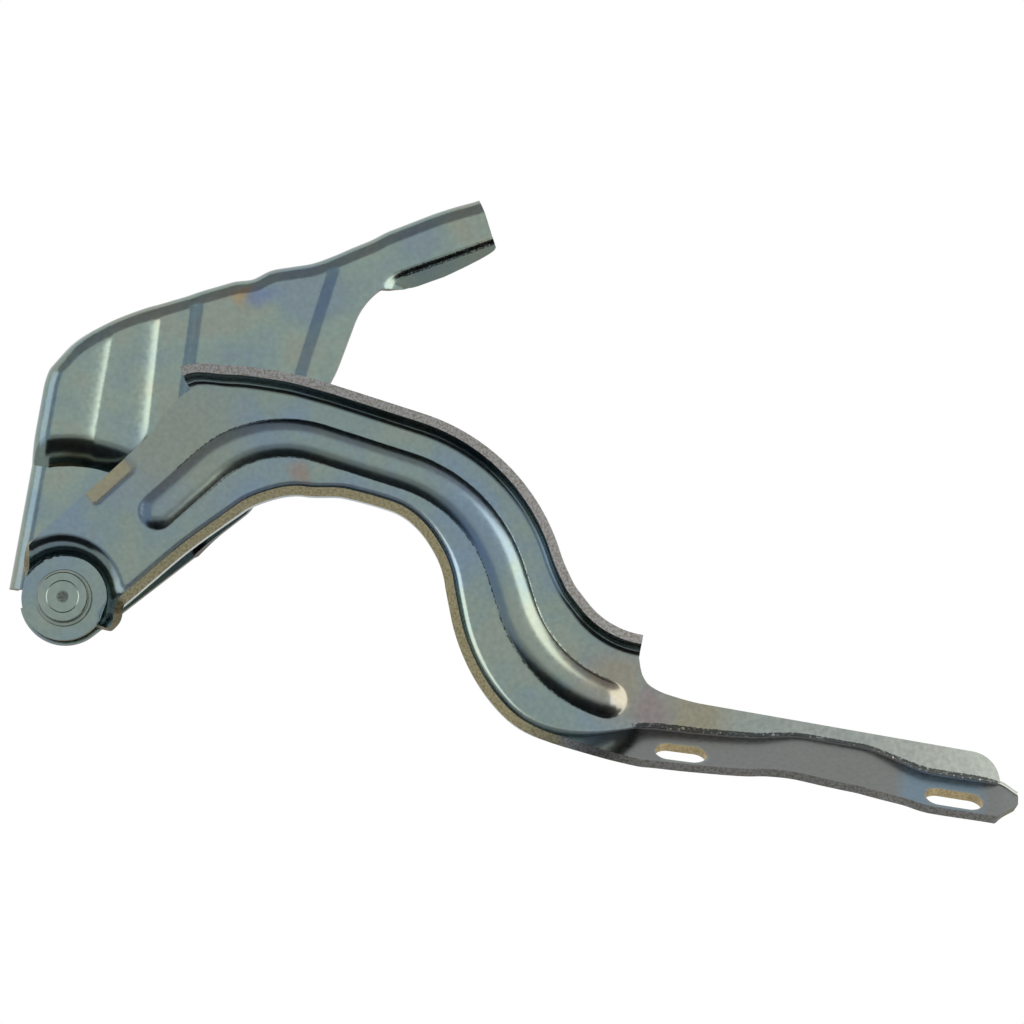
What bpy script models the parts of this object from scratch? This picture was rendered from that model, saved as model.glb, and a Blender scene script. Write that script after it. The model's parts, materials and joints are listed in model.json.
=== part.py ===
# Bonnet hinge: a gooseneck arm for the bonnet and a formed bracket for the car's body, both pressed
# from steel sheet and joined by one riveted pivot.
#
# Every shape is laid out from the pivot's axis, which runs along Y: X runs along the arm, Z is up, and
# -Y faces the viewer. A height is how far a face stands towards the viewer. The objects are then placed
# so that the world's origin is the middle of the body mounting face.

from math import cos, hypot, pi, radians, sin, sqrt

import bmesh
import bpy
from mathutils import Matrix, Vector

for old in list(bpy.data.objects):
    bpy.data.objects.remove(old, do_unlink=True)

# Sheet, bends and running gaps
SHEET = 0.0030
GAP = 0.0003
BEND_RADIUS = 0.0047

# Pivot: a stepped rivet, a flanged bush in the arm, a thrust washer and a washer under the formed tail
RIVET_HEAD_RADIUS = 0.0083
RIVET_HEAD_HEIGHT = 0.0024
RIVET_SHANK_RADIUS = 0.0050
RIVET_NECK_RADIUS = 0.0042
RIVET_TAIL_RADIUS = 0.0072
RIVET_TAIL_HEIGHT = 0.0028
BUSH_WALL = 0.0010
BUSH_FLANGE_RADIUS = 0.0094
BUSH_FLANGE = 0.0010
THRUST_WASHER_RADIUS = 0.0125
THRUST_WASHER = 0.0015
REAR_WASHER_RADIUS = 0.0095
REAR_WASHER = 0.0012

# Arm: the path of its bead, from the pivot outwards
NECK_HEADING = radians(42.0)
NECK_STRAIGHT = 0.064
CREST_RADIUS = 0.038
CREST_TURN = radians(-60.0)
BACK_STRAIGHT = 0.030
DROP_RADIUS = 0.051
DROP_TURN = radians(-55.0)
DROP_STRAIGHT = 0.012
FOOT_RADIUS = 0.047
FOOT_TURN = radians(63.0)
FOOT_STRAIGHT = 0.1285

# Arm: pivot end, dished boss, bead and coined stop face
END_RADIUS = 0.0185
END_CENTRE = 0.0045
BOSS_RADIUS = 0.0145
BOSS_RAMP = 0.0050
BOSS_DEPTH = 0.0065
BEAD_HALF_WIDTH = 0.0060
BEAD_CROWN = 0.0020
BEAD_HEIGHT = 0.0030
BEAD_START = 0.041
BEAD_RUN_OUT = 0.007
COIN_START = 0.027
COIN_LENGTH = 0.019
COIN_WIDTH = 0.0065
COIN_DEPTH = 0.0009
COIN_RAMP = 0.0015

# Arm: upper flange, lower lip and bonnet mounting flange
UPPER_FLANGE_START = 0.0720
UPPER_FLANGE_HEIGHT = 0.0085
LIP_LENGTH = 0.0036
MOUNT_FLANGE_LENGTH = 0.0160
MOUNT_FLANGE_BEND = radians(50.0)
MOUNT_FLANGE_BLEND_START = -0.026
MOUNT_FLANGE_BLEND = 0.034
FOOT_WEB_TOP = 0.0045
FOOT_FOLD = 0.0058
FAR_FOLD = 0.0035
FOOT_JOGGLE = 0.0055
TIP_RADIUS = 0.011
TIP_CHAMFER = 0.007
SLOT_WIDTH = 0.0090
NEAR_SLOT_LENGTH = 0.0170
FAR_SLOT_LENGTH = 0.0190
NEAR_SLOT_FROM_FOOT = 0.0200
SLOT_PITCH = 0.0900
SLOT_FROM_EDGE = 0.0060

# Bracket: the path of its flanged edge, up the left side and along the top
STUB = Vector((-0.0175, 0.0036))
SIDE_HEADING = radians(80.5)
SIDE_STRAIGHT = 0.0678
CORNER_RADIUS = 0.028
CORNER_TURN = radians(-64.0)
TOP_STRAIGHT = 0.082
PAD_TURN = radians(5.0)
PAD_TURN_RADIUS = 0.060
PAD_STRAIGHT = 0.045

# Bracket: the path of its plain edge, round the pivot, up the right side and under the pad
PIVOT_EDGE_RADIUS = 0.016
PIVOT_EDGE_TURN = radians(129.0)
LOWER_STRAIGHT = 0.064
LOWER_CORNER_TURN = radians(19.0)
LOWER_CORNER_RADIUS = 0.008
RIGHT_STRAIGHT = 0.047
RIGHT_TURN = radians(12.0)
RIGHT_TURN_RADIUS = 0.050
RIGHT_UPPER_STRAIGHT = 0.014
THROAT_TURN = radians(-50.0)
THROAT_RADIUS = 0.024
UNDER_PAD_STRAIGHT = 0.031

# Bracket: joggle round the pivot, pressed steps and flanges
JOGGLE_RADIUS = 0.0455
JOGGLE_RAMP = 0.0105
FLOOR_HEIGHT = 0.0040
STEP_HEIGHT = 0.0014
STEP_RAMP = 0.0055
SIDE_LIP = 0.0015
BODY_FLANGE = 0.0190
PAD_LIP_BEND = radians(60.0)
PAD_LIP_RADIUS = 0.0019
PAD_LIP_LENGTH = 0.0070
PAD_LIP_START = 0.004
PAD_LIP_BLEND = 0.010
EDGE_MARGIN = 0.0008
BOLT_HOLE_RADIUS = 0.0045
BOLT_PITCH = 0.052
BOLT_FROM_PLATE = 0.0155

# Levels, as heights towards the viewer above the bracket's face at the pivot
BOSS_BACK = THRUST_WASHER + 2 * GAP
BOSS_MIDDLE = BOSS_BACK + SHEET / 2
WEB_MIDDLE = BOSS_MIDDLE + BOSS_DEPTH
BRACKET_MIDDLE = -SHEET / 2


def clamp(value):
    return min(1.0, max(0.0, value))


def ease(value):
    """A smooth rise from 0 to 1."""
    t = clamp(value)
    return t * t * (3 - 2 * t)


def follow(knots, place):
    """A smooth curve through (place, value) knots, with no overshoot between them."""
    if place <= knots[0][0]:
        return knots[0][1]
    for k in range(len(knots) - 1):
        (x0, y0), (x1, y1) = knots[k], knots[k + 1]
        if place > x1:
            continue
        slope = (y1 - y0) / (x1 - x0)
        before = (y0 - knots[k - 1][1]) / (x0 - knots[k - 1][0]) if k else slope
        last = k + 2 == len(knots)
        after = slope if last else (knots[k + 2][1] - y1) / (knots[k + 2][0] - x1)
        m0 = 2 * before * slope / (before + slope) if before * slope > 0 else 0.0
        m1 = 2 * after * slope / (after + slope) if after * slope > 0 else 0.0
        t = (place - x0) / (x1 - x0)
        span = x1 - x0
        rise = y0 * (2 * t ** 3 - 3 * t ** 2 + 1) + y1 * (3 * t ** 2 - 2 * t ** 3)
        return rise + span * (m0 * (t ** 3 - 2 * t ** 2 + t) + m1 * (t ** 3 - t ** 2))
    return knots[-1][1]


class Path:
    """Straight runs and tangent arcs in the XZ plane. A run is (length, turn), turn 0 where straight."""

    def __init__(self, start, heading, runs):
        self.runs = []
        self.marks = [0.0]
        point = Vector(start)
        for length, turn in runs:
            self.runs.append((self.marks[-1], point.copy(), heading, length, turn))
            point += self.chord(heading, length, turn)
            heading += turn
            self.marks.append(self.marks[-1] + length)
        self.length = self.marks[-1]

    @staticmethod
    def chord(heading, length, turn):
        if abs(turn) < 1e-9:
            return length * Vector((cos(heading), sin(heading)))
        radius = length / turn
        return radius * Vector((sin(heading + turn) - sin(heading), cos(heading) - cos(heading + turn)))

    def at(self, place):
        """The point and the heading at a distance along the path; both ends run on straight."""
        run = self.runs[0]
        for other in self.runs:
            if place >= other[0]:
                run = other
        start, point, heading, length, turn = run
        along = place - start
        if along < 0 or along > length:
            over = along if along < 0 else along - length
            base = point if along < 0 else point + self.chord(heading, length, turn)
            facing = heading if along < 0 else heading + turn
            return base + self.chord(facing, over, 0.0), facing
        part = turn * along / length
        return point + self.chord(heading, along, part), heading + part


def arc(radius, turn):
    return radius * abs(turn), turn


def spread(start, end, spacing):
    """Even places from start up to, but not including, end."""
    count = max(1, round((end - start) / spacing))
    return [start + (end - start) * k / count for k in range(count)]


def bend(radius, angle, straight, arc_steps, straight_steps):
    """Offsets (out, up) of a flange that leaves a plate: a bend, then a flat.

    Below a square bend the curved strip keeps its length, so a flat edge has the same blank.
    """
    length = radius * max(abs(angle), pi / 2)
    points = []
    for k in range(1, arc_steps + 1):
        turned = angle * k / arc_steps
        if abs(angle) < 1e-6:
            points.append((length * k / arc_steps, 0.0))
        else:
            curve = length / angle
            points.append((curve * sin(turned), curve * (1 - cos(turned))))
    out, up = points[-1]
    for k in range(1, straight_steps + 1):
        run = straight * k / straight_steps
        points.append((out + run * cos(angle), up + run * sin(angle)))
    return points


# How far the outer face of a square bend lies beyond the place where it leaves the plate
SQUARE_REACH = BEND_RADIUS + SHEET / 2


# The arm

ARM_PATH = Path((0, 0), NECK_HEADING, [
    (NECK_STRAIGHT, 0.0), arc(CREST_RADIUS, CREST_TURN), (BACK_STRAIGHT, 0.0), arc(DROP_RADIUS, DROP_TURN),
    (DROP_STRAIGHT, 0.0), arc(FOOT_RADIUS, FOOT_TURN), (FOOT_STRAIGHT, 0.0)])
CREST, BACK, DROP, DROP_END, FOOT_BEND, FOOT, TIP = ARM_PATH.marks[1:]
UPPER_FLANGE_END = FOOT + 0.0015
BEAD_END = FOOT - 0.002


def arm_top(s):
    """The plate's upper edge, or the foot of the upper flange's bend."""
    if s < END_CENTRE:
        return END_RADIUS
    knots = [(END_CENTRE, END_RADIUS), (0.024, 0.0203), (0.056, 0.0208), (UPPER_FLANGE_START, 0.0245),
             (CREST + 0.016, 0.0190), (CREST + 0.027, 0.0140), (BACK - 0.002, 0.0120),
             (DROP_END, 0.0120), (FOOT_BEND + 0.012, 0.0148), (UPPER_FLANGE_END, 0.0160),
             (UPPER_FLANGE_END + 0.004, 0.0090), (FOOT + 0.014, FOOT_WEB_TOP), (TIP, FOOT_WEB_TOP)]
    if s > TIP - TIP_RADIUS:
        into = min(s - TIP + TIP_RADIUS, TIP_RADIUS)
        return FOOT_WEB_TOP - TIP_RADIUS + sqrt(TIP_RADIUS ** 2 - into ** 2)
    return follow(knots, s)


def arm_fold(s):
    """Where the lower lip, and farther out the mounting flange, leaves the plate."""
    flat_blank = BEND_RADIUS * pi / 2 + LIP_LENGTH
    knots = [(END_CENTRE, flat_blank - END_RADIUS), (0.014, -0.0118), (0.036, -0.0118),
             (CREST + 0.016, -0.0148), (BACK, -0.0130), (BACK + 0.014, -0.0094), (DROP - 0.003, -0.0088),
             (DROP + 0.030, -0.0122), (FOOT_BEND + 0.006, -0.0152), (FOOT - 0.028, -0.0155),
             (FOOT + 0.008, -FOOT_FOLD), (FOOT + 0.036, -FOOT_FOLD),
             (FOOT + 0.058, FOOT_JOGGLE - FOOT_FOLD), (FOOT + 0.078, FOOT_JOGGLE - FOOT_FOLD),
             (FOOT + 0.098, -FAR_FOLD), (TIP, -FAR_FOLD)]
    return follow(knots, s)


def arm_lip(s):
    """The bend of the lower edge and the length of the flat beyond it."""
    opening = ease((s - FOOT - MOUNT_FLANGE_BLEND_START) / MOUNT_FLANGE_BLEND)
    angle = pi / 2 + (MOUNT_FLANGE_BEND - pi / 2) * opening
    angle *= ease((s - END_CENTRE + 0.002) / 0.012)
    straight = LIP_LENGTH + (MOUNT_FLANGE_LENGTH - LIP_LENGTH) * opening
    chamfer = clamp((s - TIP + TIP_CHAMFER) / TIP_CHAMFER)
    return angle, straight - TIP_CHAMFER * chamfer ** 2


def bead(s, v):
    """The bead's height above the web, with rounded run-outs at both ends."""
    nose = max(0.0, BEAD_START + BEAD_HALF_WIDTH - s, s - BEAD_END + BEAD_HALF_WIDTH)
    off = hypot(nose, v)
    return BEAD_HEIGHT * ease((BEAD_HALF_WIDTH - off) / (BEAD_HALF_WIDTH - BEAD_CROWN))


def arm_height(s, v):
    """The height of the arm's plate at a place along its path and beside it."""
    point, heading = ARM_PATH.at(s)
    point = point + v * Vector((-sin(heading), cos(heading)))
    dish = BOSS_DEPTH * ease((BOSS_RADIUS + BOSS_RAMP - point.length) / BOSS_RAMP)
    coin_run = ease((s - COIN_START) / COIN_RAMP) * ease((COIN_START + COIN_LENGTH - s) / COIN_RAMP)
    coin = COIN_DEPTH * coin_run * ease((v - arm_top(s) + COIN_WIDTH) / COIN_RAMP)
    return WEB_MIDDLE + bead(s, v) - dish - coin


def arm_section(s, fine=1):
    """Points across the arm, from the upper flange's free edge to the lower edge."""
    top, fold = arm_top(s), arm_fold(s)
    angle, straight = arm_lip(s)
    calm = ease((s - BEAD_END + 0.004) / 0.020)
    middle = (top + fold) / 2 * calm
    half = BEAD_HALF_WIDTH * (1 - calm) + (top - fold) * 0.3 * calm
    shrink = 1.0
    if s < END_CENTRE:
        shrink = sqrt(max(0.0, 1 - ((END_CENTRE - s) / END_RADIUS) ** 2))
    upper = bend(BEND_RADIUS, pi / 2, UPPER_FLANGE_HEIGHT, 3 * fine, fine)
    lower = bend(BEND_RADIUS, angle, straight, 3 * fine, 2 * fine)
    across = [top + (middle + half - top) * k / (4 * fine) for k in range(4 * fine)]
    across += [middle + half - 2 * half * k / (6 * fine) for k in range(6 * fine)]
    across += [middle - half + (fold - middle + half) * k / (2 * fine) for k in range(2 * fine + 1)]
    section = []
    for out, up in reversed(upper):
        section.append((top + out, arm_height(s, top) + up))
    for v in across:
        section.append((v * shrink, arm_height(s, v * shrink)))
    for out, up in lower:
        v = (fold - out) * shrink
        section.append((v, arm_height(s, v) + up))
    return section


def arm_stations(fine=1):
    """Places along the arm, closer where the shape turns faster."""
    count = 6 * fine
    places = [END_CENTRE - END_RADIUS * cos(pi / 2 * (k + 0.35) / (count + 0.35)) for k in range(count)]
    cuts = [(END_CENTRE, 0.024, 0.0026), (0.024, BEAD_START + 0.006, 0.0032),
            (BEAD_START + 0.006, UPPER_FLANGE_START, 0.0050), (UPPER_FLANGE_START, BACK, 0.0048),
            (BACK, DROP, 0.0060), (DROP, DROP_END, 0.0050), (DROP_END, FOOT - 0.030, 0.0055),
            (FOOT - 0.030, UPPER_FLANGE_END, 0.0045), (UPPER_FLANGE_END, FOOT + 0.014, 0.0030),
            (FOOT + 0.014, TIP - TIP_RADIUS, 0.0062), (TIP - TIP_RADIUS, TIP, 0.0022)]
    for start, end, spacing in cuts:
        places += spread(start, end, spacing / fine)
    return places + [TIP - 0.0002]


def on_plane(path, s, v, height):
    """The 3D point at a place along a path, beside it, and at a height towards the viewer."""
    point, heading = path.at(s)
    point = point + v * Vector((-sin(heading), cos(heading)))
    return Vector((point.x, -height, point.y))


# The bracket

OUTER_PATH = Path(STUB, SIDE_HEADING, [
    (SIDE_STRAIGHT, 0.0), arc(CORNER_RADIUS, CORNER_TURN), (TOP_STRAIGHT, 0.0),
    arc(PAD_TURN_RADIUS, PAD_TURN), (PAD_STRAIGHT, 0.0)])
INNER_PATH = Path((-PIVOT_EDGE_RADIUS, 0), radians(-90), [
    arc(PIVOT_EDGE_RADIUS, PIVOT_EDGE_TURN), (LOWER_STRAIGHT, 0.0),
    arc(LOWER_CORNER_RADIUS, LOWER_CORNER_TURN), (RIGHT_STRAIGHT, 0.0),
    arc(RIGHT_TURN_RADIUS, RIGHT_TURN), (RIGHT_UPPER_STRAIGHT, 0.0), arc(THROAT_RADIUS, THROAT_TURN),
    (UNDER_PAD_STRAIGHT, 0.0)])
CORNER, TOP, PAD_BEND, PAD, OUTER_END = OUTER_PATH.marks[1:]
LOWER_RUN, LOWER_CORNER, RIGHT_SIDE, RIGHT_BEND = INNER_PATH.marks[1:5]
THROAT, UNDER_PAD, INNER_END = INNER_PATH.marks[6:]


def inner_place(outer):
    """The place on the plain edge that faces a place on the flanged edge."""
    knots = [(0.0, 0.0), (0.010, LOWER_RUN), (0.030, LOWER_RUN + 0.030), (CORNER, LOWER_CORNER - 0.006),
             (TOP, RIGHT_SIDE + 0.006), (TOP + 0.040, RIGHT_SIDE + 0.025),
             (TOP + 0.062, RIGHT_BEND + 0.002), (PAD_BEND - 0.002, THROAT + 0.001),
             (PAD + 0.010, UNDER_PAD), (OUTER_END, INNER_END)]
    return follow(knots, outer)


def line_offset(upper, lower, point):
    """How far a point lies to the right of a line that runs down the bracket."""
    a, b = Vector(upper), Vector(lower)
    run = (a - b).normalized()
    return (point - b).dot(Vector((run.y, -run.x)))


def bracket_height(point):
    """The height of the bracket's plate: joggle, then four pressed steps across it."""
    rise = clamp((point.length - JOGGLE_RADIUS) / JOGGLE_RAMP)
    joggle = 1 - (1 - rise) ** 2
    first = clamp(line_offset((0.0152, 0.0868), (0.0099, 0.0548), point) / STEP_RAMP + 1) ** 2
    second = clamp(line_offset((0.0310, 0.0937), (0.0270, 0.0531), point) / STEP_RAMP + 1) ** 2
    third = ease(line_offset((0.0434, 0.0983), (0.0406, 0.0762), point) / STEP_RAMP + 0.5)
    fourth = ease(line_offset((0.0887, 0.1092), (0.0774, 0.0729), point) / STEP_RAMP + 0.5)
    steps = STEP_HEIGHT * (2 - first - second + third + fourth)
    return BRACKET_MIDDLE + joggle * (FLOOR_HEIGHT + steps)


def bracket_section(outer, fine=1):
    """Points across the bracket, from the flange's free edge to the plain edge."""
    a, heading = OUTER_PATH.at(outer)
    b, facing = INNER_PATH.at(inner_place(outer))
    inward = Vector((sin(heading), -cos(heading)))
    outward = Vector((sin(facing), -cos(facing)))
    foot = a + inward * SQUARE_REACH
    deep = SIDE_LIP + (BODY_FLANGE - SIDE_LIP) * ease((outer - CORNER - 0.004) / 0.030)
    under_pad = ease((outer - PAD - PAD_LIP_START) / PAD_LIP_BLEND)
    under_pad *= ease((OUTER_END - outer) / PAD_LIP_BLEND)
    lip = bend(PAD_LIP_RADIUS, PAD_LIP_BEND * under_pad, EDGE_MARGIN + PAD_LIP_LENGTH * under_pad,
               2 * fine, fine)
    edge = b - outward * (PAD_LIP_RADIUS * pi / 2 + EDGE_MARGIN)
    upper = bend(BEND_RADIUS, pi / 2, deep, 3 * fine, 2 * fine)
    section = []
    top_height = bracket_height(foot)
    for out, up in reversed(upper):
        point = foot - inward * out
        section.append(Vector((point.x, -(top_height - up), point.y)))
    count = 13 * fine
    for k in range(count + 1):
        point = foot.lerp(edge, k / count)
        section.append(Vector((point.x, -bracket_height(point), point.y)))
    for out, up in lip:
        point = edge + outward * out
        section.append(Vector((point.x, -(bracket_height(edge if under_pad else point) - up), point.y)))
    return section


def bracket_stations(fine=1):
    cuts = [(0.0008, 0.010, 0.0012), (0.010, 0.034, 0.0042), (0.034, CORNER, 0.0030),
            (CORNER, TOP, 0.0036), (TOP, PAD_BEND, 0.0036), (PAD_BEND, OUTER_END, 0.0044)]
    places = []
    for start, end, spacing in cuts:
        places += spread(start, end, spacing / fine)
    return places + [OUTER_END]


# The body mounting face, on the bracket's top flange midway between its bolt holes
BODY_FACE_PLACE = TOP + TOP_STRAIGHT / 2
body_point, BODY_HEADING = OUTER_PATH.at(BODY_FACE_PLACE)
BODY_FACE_Y = BOLT_FROM_PLATE - FLOOR_HEIGHT
BODY_FACE = Vector((body_point.x, BODY_FACE_Y, body_point.y))
PIVOT = -BODY_FACE

hinge = bpy.data.collections.new("bonnet_hinge")
cutters = bpy.data.collections.new("cutters")
for group in (hinge, cutters):
    bpy.context.scene.collection.children.link(group)


def material(name, colour, roughness, metallic=1.0):
    made = bpy.data.materials.new(name)
    made.use_nodes = True
    shader = made.node_tree.nodes["Principled BSDF"]
    shader.inputs["Base Color"].default_value = (*colour, 1.0)
    shader.inputs["Roughness"].default_value = roughness
    shader.inputs["Metallic"].default_value = metallic
    made.diffuse_color = (*colour, 1.0)
    return made


def add_object(name, mesh, group, finish=None):
    made = bpy.data.objects.new(name, mesh)
    made.location = PIVOT
    group.objects.link(made)
    if finish:
        mesh.materials.append(finish)
    return made


def formed_sheet(name, sections, finish, present):
    """A sheet lofted through sections of equal length, then thickened both ways from its middle."""
    bm = bmesh.new()
    verts = {}

    def vert(i, j):
        if (i, j) not in verts:
            verts[i, j] = bm.verts.new(sections[i][j])
        return verts[i, j]

    for i in range(len(sections) - 1):
        for j in range(len(sections[0]) - 1):
            if present(i, j):
                bm.faces.new((vert(i, j), vert(i, j + 1), vert(i + 1, j + 1), vert(i + 1, j)))
    bmesh.ops.remove_doubles(bm, verts=bm.verts, dist=0.00001)
    bmesh.ops.recalc_face_normals(bm, faces=bm.faces)
    mesh = bpy.data.meshes.new(name)
    bm.to_mesh(mesh)
    bm.free()
    mesh.shade_smooth()
    made = add_object(name, mesh, hinge, finish)
    thicken = made.modifiers.new("sheet", "SOLIDIFY")
    thicken.thickness = SHEET
    thicken.offset = 0.0
    thicken.use_even_offset = True
    thicken.use_quality_normals = True
    return made


def cut(target, cutter):
    cutter.hide_render = True
    cutter.display_type = "WIRE"
    hole = target.modifiers.new(cutter.name, "BOOLEAN")
    hole.operation = "DIFFERENCE"
    hole.solver = "EXACT"
    hole.object = cutter


def round_cutter(name, radius, depth, place, axis, segments=24):
    bm = bmesh.new()
    turn = Vector((0, 0, 1)).rotation_difference(axis).to_matrix().to_4x4()
    bmesh.ops.create_cone(bm, cap_ends=True, segments=segments, radius1=radius, radius2=radius,
                          depth=depth, matrix=Matrix.Translation(place) @ turn)
    mesh = bpy.data.meshes.new(name)
    bm.to_mesh(mesh)
    bm.free()
    return add_object(name, mesh, cutters)


def slot_cutter(name, length, width, depth, frame, segments=10):
    """A slot with round ends; the frame's X runs along it and its Z goes through the sheet."""
    bm = bmesh.new()
    ring = []
    for side in (1, -1):
        for k in range(segments + 1):
            angle = pi * k / segments - side * pi / 2
            x = side * (length - width) / 2 + width / 2 * cos(angle)
            ring.append(bm.verts.new(frame @ Vector((x, width / 2 * sin(angle), -depth / 2))))
    face = bm.faces.new(ring)
    lift = bmesh.ops.extrude_face_region(bm, geom=[face])
    moved = [item for item in lift["geom"] if isinstance(item, bmesh.types.BMVert)]
    bmesh.ops.translate(bm, verts=moved, vec=frame.to_3x3() @ Vector((0, 0, depth)))
    bmesh.ops.recalc_face_normals(bm, faces=bm.faces)
    mesh = bpy.data.meshes.new(name)
    bm.to_mesh(mesh)
    bm.free()
    return add_object(name, mesh, cutters)


def turned(name, profile, finish, segments=40):
    """A piece turned about the pivot's axis from (radius, height) points, closed when it is a ring."""
    bm = bmesh.new()
    ring = []
    for radius, height in profile:
        ring.append(bm.verts.new((radius, 0, height)))
    for a, b in zip(ring, ring[1:]):
        bm.edges.new((a, b))
    if profile[0][0] > 0 and profile[-1][0] > 0:
        bm.edges.new((ring[-1], ring[0]))
    mesh = bpy.data.meshes.new(name)
    bm.to_mesh(mesh)
    bm.free()
    made = add_object(name, mesh, hinge, finish)
    made.rotation_euler = (radians(90), 0, 0)
    screw = made.modifiers.new("turn", "SCREW")
    screw.axis = "Z"
    screw.steps = segments
    screw.render_steps = segments
    screw.use_merge_vertices = True
    screw.merge_threshold = 0.00001
    screw.use_smooth_shade = True
    return made


zinc_arm = material("zinc_plated_arm", (0.36, 0.41, 0.43), 0.32)
zinc_bracket = material("zinc_plated_bracket", (0.38, 0.43, 0.40), 0.36)
rivet_steel = material("zinc_plated_rivet", (0.42, 0.45, 0.46), 0.30)
bush_metal = material("bearing_bronze", (0.55, 0.40, 0.22), 0.38)
washer_steel = material("zinc_plated_washer", (0.40, 0.42, 0.43), 0.35)

# Arm
places = arm_stations()
sections = []
for s in places:
    sections.append([on_plane(ARM_PATH, s, v, height) for v, height in arm_section(s)])
FLANGE_POINTS = 4


def arm_has(i, j):
    """The upper flange exists only along the gooseneck; everything below it is present throughout."""
    on_neck = places[i] >= UPPER_FLANGE_START - 1e-6 and places[i + 1] <= UPPER_FLANGE_END + 1e-6
    return on_neck or j >= FLANGE_POINTS


arm = formed_sheet("bonnet_arm", sections, zinc_arm, arm_has)
BUSH_RADIUS = RIVET_SHANK_RADIUS + GAP + BUSH_WALL
cut(arm, round_cutter("arm_pivot_hole", BUSH_RADIUS + GAP, 0.010, Vector((0, -BOSS_MIDDLE, 0)),
                      Vector((0, 1, 0)), 40))


def flange_frame(s):
    """The mounting flange's middle plane at s: X along the arm, Z square to the flange."""
    angle, straight = arm_lip(s)
    out, up = bend(BEND_RADIUS, angle, straight - SLOT_FROM_EDGE, 1, 1)[-1]
    centre = on_plane(ARM_PATH, s, arm_fold(s) - out, WEB_MIDDLE + up)
    heading = ARM_PATH.at(s)[1]
    along = Vector((cos(heading), 0, sin(heading)))
    side = Vector((-sin(heading), 0, cos(heading)))
    down = -cos(angle) * side + sin(angle) * Vector((0, -1, 0))
    normal = along.cross(down)
    frame = Matrix((along, down, normal)).transposed().to_4x4()
    frame.translation = centre
    return frame


NEAR_SLOT = FOOT + NEAR_SLOT_FROM_FOOT
for name, s, length in (("near_slot", NEAR_SLOT, NEAR_SLOT_LENGTH),
                        ("far_slot", NEAR_SLOT + SLOT_PITCH, FAR_SLOT_LENGTH)):
    cut(arm, slot_cutter(name, length, SLOT_WIDTH, 0.008, flange_frame(s)))

# Bracket
plate = [bracket_section(outer) for outer in bracket_stations()]
bracket = formed_sheet("body_bracket", plate, zinc_bracket, lambda i, j: True)
cut(bracket, round_cutter("bracket_pivot_hole", RIVET_NECK_RADIUS + GAP, 0.010, Vector((0, SHEET / 2, 0)),
                          Vector((0, 1, 0)), 40))
along_top = Vector((cos(BODY_HEADING), 0, sin(BODY_HEADING)))
up_top = Vector((-sin(BODY_HEADING), 0, cos(BODY_HEADING)))
for name, side in (("rear_bolt_hole", -1), ("front_bolt_hole", 1)):
    place = BODY_FACE + along_top * side * BOLT_PITCH / 2
    cut(bracket, round_cutter(name, BOLT_HOLE_RADIUS, 0.012, place, up_top))

# Pivot, as (radius, height) profiles; a height is towards the viewer
boss_front = BOSS_BACK + SHEET
flange_back = boss_front + GAP
head_back = flange_back + BUSH_FLANGE + GAP
head_front = head_back + RIVET_HEAD_HEIGHT
shoulder = GAP
tail_front = -SHEET - 2 * GAP - REAR_WASHER
tail_back = tail_front - RIVET_TAIL_HEIGHT
turned("pivot_rivet", [
    (0.0, head_front - 0.0003), (0.0022, head_front - 0.0003), (0.0026, head_front),
    (RIVET_HEAD_RADIUS - 0.0008, head_front), (RIVET_HEAD_RADIUS, head_front - 0.0007),
    (RIVET_HEAD_RADIUS, head_back), (RIVET_SHANK_RADIUS, head_back), (RIVET_SHANK_RADIUS, shoulder),
    (RIVET_NECK_RADIUS, shoulder), (RIVET_NECK_RADIUS, tail_front), (RIVET_TAIL_RADIUS, tail_front),
    (RIVET_TAIL_RADIUS - 0.0005, tail_front - 0.0014), (RIVET_TAIL_RADIUS - 0.0022, tail_back),
    (0.0, tail_back)], rivet_steel)
bush_inner = RIVET_SHANK_RADIUS + GAP
turned("bearing_bush", [
    (bush_inner, flange_back + BUSH_FLANGE), (BUSH_FLANGE_RADIUS, flange_back + BUSH_FLANGE),
    (BUSH_FLANGE_RADIUS, flange_back), (BUSH_RADIUS, flange_back),
    (BUSH_RADIUS, BOSS_BACK), (bush_inner, BOSS_BACK)], bush_metal)
washer_back = GAP
turned("thrust_washer", [
    (bush_inner, washer_back + THRUST_WASHER), (THRUST_WASHER_RADIUS, washer_back + THRUST_WASHER),
    (THRUST_WASHER_RADIUS, washer_back), (bush_inner, washer_back)], bush_metal)
rear_front = -SHEET - GAP
turned("rivet_washer", [
    (RIVET_NECK_RADIUS + GAP, rear_front), (REAR_WASHER_RADIUS, rear_front),
    (REAR_WASHER_RADIUS, rear_front - REAR_WASHER), (RIVET_NECK_RADIUS + GAP, rear_front - REAR_WASHER)],
    washer_steel)
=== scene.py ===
# Bonnet hinge: a gooseneck arm riveted to a formed body bracket, both pressed from zinc-plated sheet.
#
# Each stamping is lofted again here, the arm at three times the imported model's density and the bracket
# at six, so that its bends and bead take light as smooth metal does. The foot, the pivot end, the pad's
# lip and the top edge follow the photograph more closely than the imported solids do. Places are laid out
# from the pivot's axis: X along the arm, Z up, and a height is how far a face stands to the viewer.

import json
from math import cos, pi, radians, sin, sqrt

import bmesh
import bpy
from mathutils import Matrix, Vector


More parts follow.
